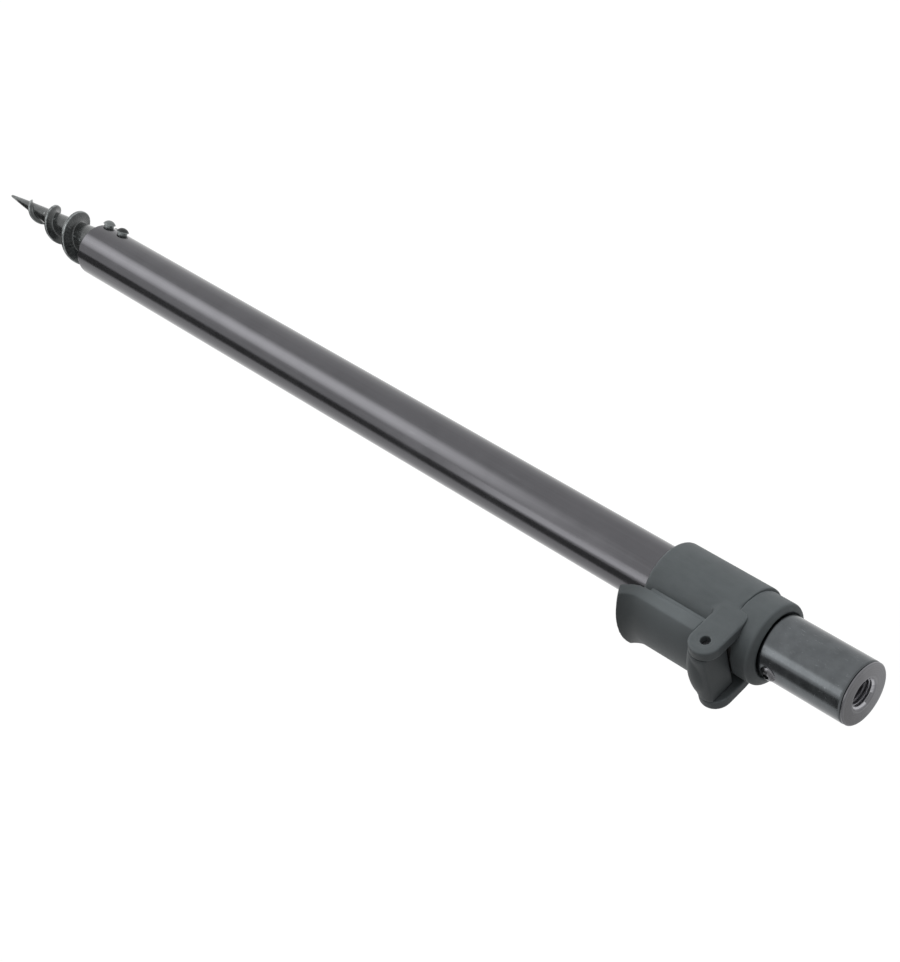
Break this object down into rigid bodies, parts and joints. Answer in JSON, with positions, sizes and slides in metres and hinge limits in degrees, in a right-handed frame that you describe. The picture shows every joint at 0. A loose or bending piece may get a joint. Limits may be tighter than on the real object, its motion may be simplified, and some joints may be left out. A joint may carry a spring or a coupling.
{
  "type": "bank stick",
  "caption": "Telescopic bank stick: round ground tube with a screw-in auger point, a moulded cam lock with a flip lever, and a sliding upper tube with a threaded head.",
  "frame": {"origin": "on the stick's axis at the ground tube's lower rim, the ground line when the auger is screwed in", "axes": "+Z along the stick towards the threaded head, -Y towards the cam lever"},
  "size_m": [0.026, 0.0361, 0.4038],
  "materials": {
    "satin_anodised": "satin black anodised drawn tube",
    "gloss_anodised": "bright-dipped black anodised turned head",
    "turned_black": "black anodised machined face with turning marks",
    "blackened_steel": "black painted steel, worn at the flight's rim",
    "rivet_black": "black coated rivet",
    "screw_black": "black oxide steel",
    "bare_steel": "plain steel",
    "bare_aluminium": "plain turned aluminium",
    "lock_moulding": "fine-grained black glass-filled nylon",
    "shoe_moulding": "black moulded brake shoe",
    "bush_moulding": "natural acetal"
  },
  "bodies": {
    "ground_section": {"outer_tube": "satin_anodised", "auger_point": "blackened_steel", "auger_plug": "bare_aluminium", "plug_rivets": "rivet_black", "lock_housing": "lock_moulding", "housing_rivet": "bare_steel", "nose_bush": "lock_moulding", "hinge_pin": "screw_black"},
    "cam_lever": {"lock_lever": "lock_moulding"},
    "shoe": {"brake_shoe": "shoe_moulding"},
    "ring": {"guide_ring": "bush_moulding"},
    "upper_section": {"inner_tube": "satin_anodised", "guide_bush": "bush_moulding", "bush_rivet": "bare_steel", "head_sleeve": "gloss_anodised", "threaded_insert": "turned_black", "head_screw": "screw_black"}
  },
  "joints": [
    {"name": "lever_flip", "type": "hinge", "parent": "ground_section", "child": "cam_lever", "pos_m": [0, -0.017, 0.3074], "axis": [-1, 0, 0], "range_deg": [0, 110]},
    {"name": "shoe_press", "type": "slide", "parent": "ground_section", "child": "shoe", "axis": [0, -1, 0], "range_m": [0, 0.0005]},
    {"name": "section_slide", "type": "slide", "parent": "ground_section", "child": "ring", "axis": [0, 0, 1], "range_m": [0, 0.268]},
    {"name": "section_swivel", "type": "hinge", "parent": "ring", "child": "upper_section", "pos_m": [0, 0, 0.3], "axis": [0, 0, 1], "continuous": true}
  ],
  "couplings": [
    {"joint": "shoe_press", "follows": "lever_flip", "m_per_rad": 0.00026}
  ]
}
